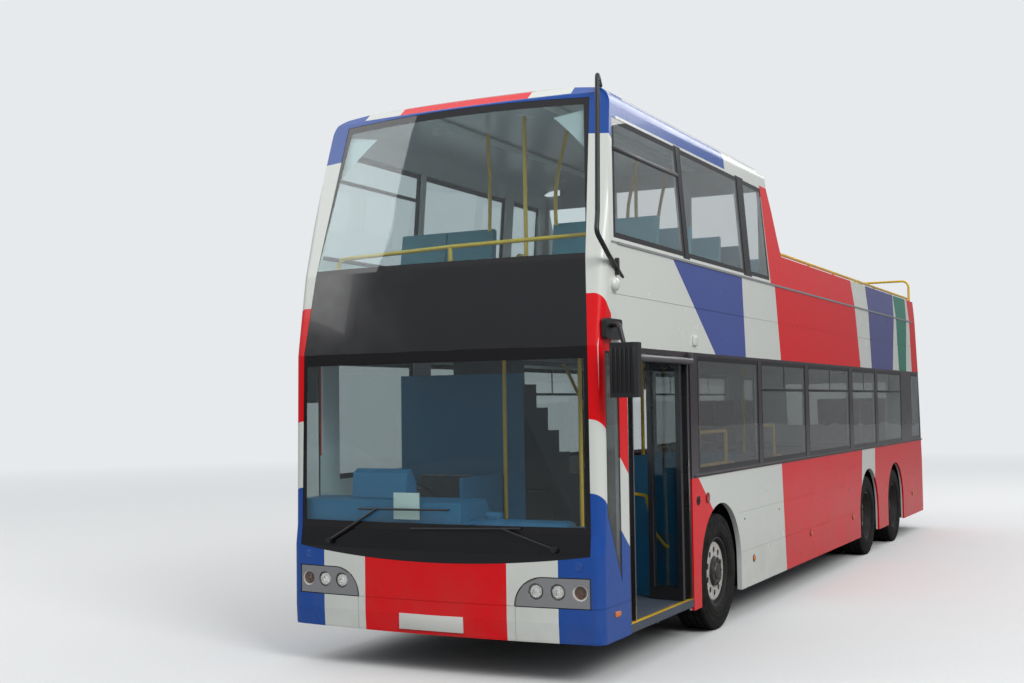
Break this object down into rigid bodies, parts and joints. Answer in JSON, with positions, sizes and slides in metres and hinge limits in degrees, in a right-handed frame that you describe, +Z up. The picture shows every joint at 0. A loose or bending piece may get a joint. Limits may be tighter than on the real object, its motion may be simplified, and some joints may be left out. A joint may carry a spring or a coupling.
{
  "type": "part open top double decker bus",
  "caption": "Part open top sightseeing double decker bus with steered front wheels, twin drive and tag axles, folding entrance doors, emergency door and engine hatch.",
  "frame": {"origin": "on the ground under the centre of the bus's bounding box", "axes": "+X forwards, +Y to the kerb side (the bus's left), +Z up"},
  "size_m": [12.1999, 3.1, 4.2399],
  "materials": {
    "black_gloss": "gloss",
    "black_plastic": "satin",
    "black_steel": "satin",
    "body_blue": "gloss",
    "body_red": "gloss",
    "body_white": "gloss",
    "cab_blue": "satin",
    "cast_grey": "rough",
    "chassis_black": "satin",
    "clear_glass": "clear",
    "door_dark": "satin",
    "driver_cloth": "matte",
    "floor_covering": "matte",
    "lamp_glass": "clear",
    "lamp_red": "gloss",
    "lower_seat_cloth": "matte",
    "partition_white": "satin",
    "stair_covering": "matte",
    "tinted_glass": "tinted",
    "tyre": "matte",
    "upper_seat_plastic": "satin",
    "wheel_steel": "satin",
    "window_band": "gloss",
    "yellow_rail": "gloss"
  },
  "bodies": {
    "root": {"branch_guard": "black_steel", "cab_fittings": "cab_blue", "chassis_frame": "chassis_black", "covered_deck_rails": "yellow_rail", "deck_partition": "partition_white", "deck_rails": "yellow_rail", "driver_seat": "driver_cloth", "engine": "cast_grey", "front_axle": "chassis_black", "front_bumper": "body_red", "front_dark_panels": "black_gloss", "front_frame": "body_white", "headlamps": "lamp_glass", "lower_floor": "floor_covering", "lower_handrails": "yellow_rail", "lower_seats": "lower_seat_cloth", "lower_windows": "tinted_glass", "luggage_pen": "cab_blue", "mirrors": "black_plastic", "nearside_lower_side": "window_band", "nearside_skirt": "body_red", "nearside_upper_side": "body_white", "offside_lower_side": "window_band", "offside_skirt": "body_red", "offside_upper_side": "body_white", "rear_axles": "chassis_black", "rear_lamps": "lamp_red", "rear_wall": "body_red", "roof": "body_blue", "staircase": "stair_covering", "steering_wheel": "black_plastic", "upper_floor": "floor_covering", "upper_seats": "upper_seat_plastic", "upper_windows": "tinted_glass", "wheel_boxes": "floor_covering", "windscreens": "clear_glass", "wipers": "black_steel"},
    "steer_left": {"knuckle_left": "cast_grey"},
    "steer_right": {"knuckle_right": "cast_grey"},
    "wheels_front_left": {"wheel_front_left": "wheel_steel", "tyre_front_left": "tyre"},
    "wheels_front_right": {"wheel_front_right": "wheel_steel", "tyre_front_right": "tyre"},
    "wheels_drive_left": {"wheel_drive_left": "wheel_steel", "tyre_drive_left": "tyre"},
    "wheels_drive_right": {"wheel_drive_right": "wheel_steel", "tyre_drive_right": "tyre"},
    "wheels_tag_left": {"wheel_tag_left": "wheel_steel", "tyre_tag_left": "tyre"},
    "wheels_tag_right": {"wheel_tag_right": "wheel_steel", "tyre_tag_right": "tyre"},
    "door_front_pillar_leaf": {"door_front_pillar_leaf": "door_dark"},
    "door_front_middle_leaf": {"door_front_middle_leaf": "door_dark"},
    "door_rear_pillar_leaf": {"door_rear_pillar_leaf": "door_dark"},
    "door_rear_middle_leaf": {"door_rear_middle_leaf": "door_dark"},
    "emergency_door": {"emergency_door": "body_red"},
    "engine_hatch": {"engine_hatch": "body_red"}
  },
  "joints": [
    {"name": "steering_left", "type": "hinge", "parent": "root", "child": "steer_left", "pos_m": [3.5, 0.905, 0.4785], "axis": [0, 0, 1], "range_deg": [-40, 40]},
    {"name": "steering_right", "type": "hinge", "parent": "root", "child": "steer_right", "pos_m": [3.5, -0.905, 0.4785], "axis": [0, 0, 1], "range_deg": [-40, 40]},
    {"name": "spin_front_left", "type": "hinge", "parent": "steer_left", "child": "wheels_front_left", "pos_m": [3.5, 1.1, 0.4785], "axis": [0, 1, 0], "continuous": true},
    {"name": "spin_front_right", "type": "hinge", "parent": "steer_right", "child": "wheels_front_right", "pos_m": [3.5, -1.1, 0.4785], "axis": [0, 1, 0], "continuous": true},
    {"name": "spin_drive_left", "type": "hinge", "parent": "root", "child": "wheels_drive_left", "pos_m": [-2.27, 1.1, 0.4785], "axis": [0, 1, 0], "continuous": true},
    {"name": "spin_drive_right", "type": "hinge", "parent": "root", "child": "wheels_drive_right", "pos_m": [-2.27, -1.1, 0.4785], "axis": [0, 1, 0], "continuous": true},
    {"name": "spin_tag_left", "type": "hinge", "parent": "root", "child": "wheels_tag_left", "pos_m": [-3.92, 1.1, 0.4785], "axis": [0, 1, 0], "continuous": true},
    {"name": "spin_tag_right", "type": "hinge", "parent": "root", "child": "wheels_tag_right", "pos_m": [-3.92, -1.1, 0.4785], "axis": [0, 1, 0], "continuous": true},
    {"name": "door_front", "type": "hinge", "parent": "root", "child": "door_front_pillar_leaf", "pos_m": [5.508, 1.244, 1.3], "axis": [0, 0, 1], "range_deg": [-80, 0]},
    {"name": "door_front_fold", "type": "hinge", "parent": "door_front_pillar_leaf", "child": "door_front_middle_leaf", "pos_m": [5.43835, 0.93541, 1.3], "axis": [0, 0, 1], "range_deg": [0, 160]},
    {"name": "door_rear", "type": "hinge", "parent": "root", "child": "door_rear_pillar_leaf", "pos_m": [4.232, 1.244, 1.3], "axis": [0, 0, 1], "range_deg": [0, 80]},
    {"name": "door_rear_fold", "type": "hinge", "parent": "door_rear_pillar_leaf", "child": "door_rear_middle_leaf", "pos_m": [4.30164, 0.93541, 1.3], "axis": [0, 0, 1], "range_deg": [-160, 0]},
    {"name": "emergency_door_hinge", "type": "hinge", "parent": "root", "child": "emergency_door", "pos_m": [-0.568, -1.265, 1.3], "axis": [0, 0, 1], "range_deg": [0, 90]},
    {"name": "engine_hatch_hinge", "type": "hinge", "parent": "root", "child": "engine_hatch", "pos_m": [-6.074, 0, 1.336], "axis": [0, 1, 0], "range_deg": [0, 75]}
  ],
  "couplings": [
    {"joint": "steering_right", "follows": "steering_left", "ratio": 1},
    {"joint": "door_front_fold", "follows": "door_front", "ratio": -2},
    {"joint": "door_rear_fold", "follows": "door_rear", "ratio": -2}
  ]
}
